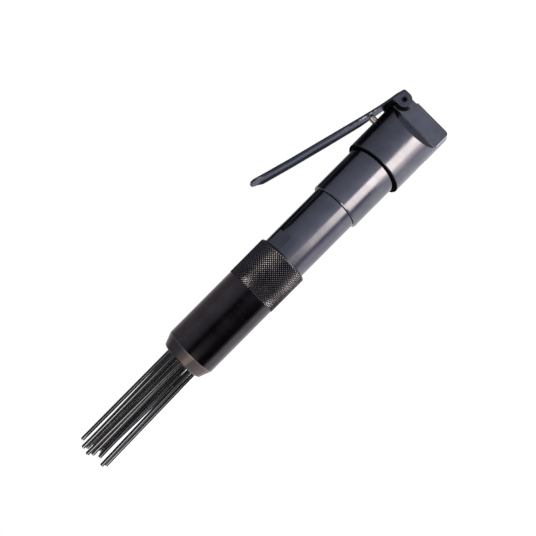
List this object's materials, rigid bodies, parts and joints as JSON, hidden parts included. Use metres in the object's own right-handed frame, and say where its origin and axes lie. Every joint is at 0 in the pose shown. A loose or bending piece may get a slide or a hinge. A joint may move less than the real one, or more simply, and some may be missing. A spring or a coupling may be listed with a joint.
{
  "type": "needle scaler",
  "caption": "Inline air needle scaler: round steel body, needles out of a tapered nose, knurled collar, exhaust sleeve, valve head with squeeze lever.",
  "frame": {"origin": "centre of the air inlet's mouth on the rear face", "axes": "+X out of the air inlet towards the hose, needles towards -X, +Z through the lever, Y across the tool"},
  "size_m": [0.3356, 0.0456, 0.0775],
  "materials": {
    "head_steel": "blued steel, satin, fine machining marks",
    "barrel_steel": "blued steel, glossy, fine turning marks",
    "housing_steel": "blackened steel, polished",
    "collar_steel": "blackened steel, diamond knurled, crests worn",
    "lever_steel": "stamped steel, blackened, edges worn",
    "pin_steel": "hardened spring pin, dark",
    "stem_steel": "polished, slightly straw coloured",
    "bright_steel": "ground",
    "spring_steel": "wound wire, oiled",
    "needle_steel": "hardened wire, dark, worn bright at the ends",
    "brass": "turned",
    "bronze": "turned bronze",
    "seal_rubber": "matt black"
  },
  "bodies": {
    "tool_body": {"throttle_head": "head_steel", "inlet_strainer": "bronze", "valve_bushing": "brass", "valve_spring": "spring_steel", "valve_plug": "head_steel", "plug_seal": "seal_rubber", "stem_seal": "seal_rubber", "lever_pin": "pin_steel", "valve_chest_rear": "bright_steel", "valve_chest_front": "bright_steel", "valve_dowel": "bright_steel", "barrel": "barrel_steel", "exhaust_sleeve": "barrel_steel", "sleeve_seal": "seal_rubber", "anvil_bushing": "bronze", "anvil_buffer": "seal_rubber", "locking_collar": "collar_steel", "front_housing": "housing_steel", "return_spring": "spring_steel"},
    "lever_body": {"lever": "lever_steel"},
    "throttle_valve": {"valve_stem": "stem_steel", "valve_ball": "bright_steel"},
    "plate": {"valve_plate": "bright_steel"},
    "hammer_piston": {"piston": "bright_steel"},
    "anvil_body": {"anvil": "bright_steel"},
    "holder": {"needle_holder": "bright_steel"},
    "needle_01_body": {"needle_01": "needle_steel"},
    "needle_02_body": {"needle_02": "needle_steel"},
    "needle_03_body": {"needle_03": "needle_steel"},
    "needle_04_body": {"needle_04": "needle_steel"},
    "needle_05_body": {"needle_05": "needle_steel"},
    "needle_06_body": {"needle_06": "needle_steel"},
    "needle_07_body": {"needle_07": "needle_steel"},
    "needle_08_body": {"needle_08": "needle_steel"},
    "needle_09_body": {"needle_09": "needle_steel"},
    "needle_10_body": {"needle_10": "needle_steel"},
    "needle_11_body": {"needle_11": "needle_steel"},
    "needle_12_body": {"needle_12": "needle_steel"}
  },
  "joints": [
    {"name": "lever_hinge", "type": "hinge", "parent": "tool_body", "child": "lever_body", "pos_m": [-0.006, 0, 0.0184], "axis": [0, -1, 0], "range_deg": [0, 7]},
    {"name": "valve_slide", "type": "slide", "parent": "tool_body", "child": "throttle_valve", "axis": [0, 0, -1], "range_m": [0, 0.0027], "stiffness_N_per_m": 340, "springref_m": -0.001, "deforming": ["valve_spring"]},
    {"name": "plate_slide", "type": "slide", "parent": "tool_body", "child": "plate", "axis": [-1, 0, 0], "range_m": [0, 0.0008]},
    {"name": "piston_slide", "type": "slide", "parent": "tool_body", "child": "hammer_piston", "axis": [-1, 0, 0], "range_m": [0, 0.035]},
    {"name": "holder_slide", "type": "slide", "parent": "tool_body", "child": "holder", "axis": [-1, 0, 0], "range_m": [0, 0.008], "stiffness_N_per_m": 590, "springref_m": -0.01, "deforming": ["return_spring"]},
    {"name": "anvil_slide", "type": "slide", "parent": "tool_body", "child": "anvil_body", "axis": [-1, 0, 0], "range_m": [0, 0.008]},
    {"name": "needle_01_float", "type": "slide", "parent": "holder", "child": "needle_01_body", "axis": [1, 0, 0], "range_m": [0, 0.0025]},
    {"name": "needle_02_float", "type": "slide", "parent": "holder", "child": "needle_02_body", "axis": [1, 0, 0], "range_m": [0, 0.0025]},
    {"name": "needle_03_float", "type": "slide", "parent": "holder", "child": "needle_03_body", "axis": [1, 0, 0], "range_m": [0, 0.0025]},
    {"name": "needle_04_float", "type": "slide", "parent": "holder", "child": "needle_04_body", "axis": [1, 0, 0], "range_m": [0, 0.0025]},
    {"name": "needle_05_float", "type": "slide", "parent": "holder", "child": "needle_05_body", "axis": [1, 0, 0], "range_m": [0, 0.0025]},
    {"name": "needle_06_float", "type": "slide", "parent": "holder", "child": "needle_06_body", "axis": [1, 0, 0], "range_m": [0, 0.0025]},
    {"name": "needle_07_float", "type": "slide", "parent": "holder", "child": "needle_07_body", "axis": [1, 0, 0], "range_m": [0, 0.0025]},
    {"name": "needle_08_float", "type": "slide", "parent": "holder", "child": "needle_08_body", "axis": [1, 0, 0], "range_m": [0, 0.0025]},
    {"name": "needle_09_float", "type": "slide", "parent": "holder", "child": "needle_09_body", "axis": [1, 0, 0], "range_m": [0, 0.0025]},
    {"name": "needle_10_float", "type": "slide", "parent": "holder", "child": "needle_10_body", "axis": [1, 0, 0], "range_m": [0, 0.0025]},
    {"name": "needle_11_float", "type": "slide", "parent": "holder", "child": "needle_11_body", "axis": [1, 0, 0], "range_m": [0, 0.0025]},
    {"name": "needle_12_float", "type": "slide", "parent": "holder", "child": "needle_12_body", "axis": [1, 0, 0], "range_m": [0, 0.0025]}
  ],
  "couplings": [
    {"joint": "valve_slide", "follows": "lever_hinge", "m_per_rad": 0.0215},
    {"joint": "anvil_slide", "follows": "holder_slide", "ratio": 1}
  ]
}
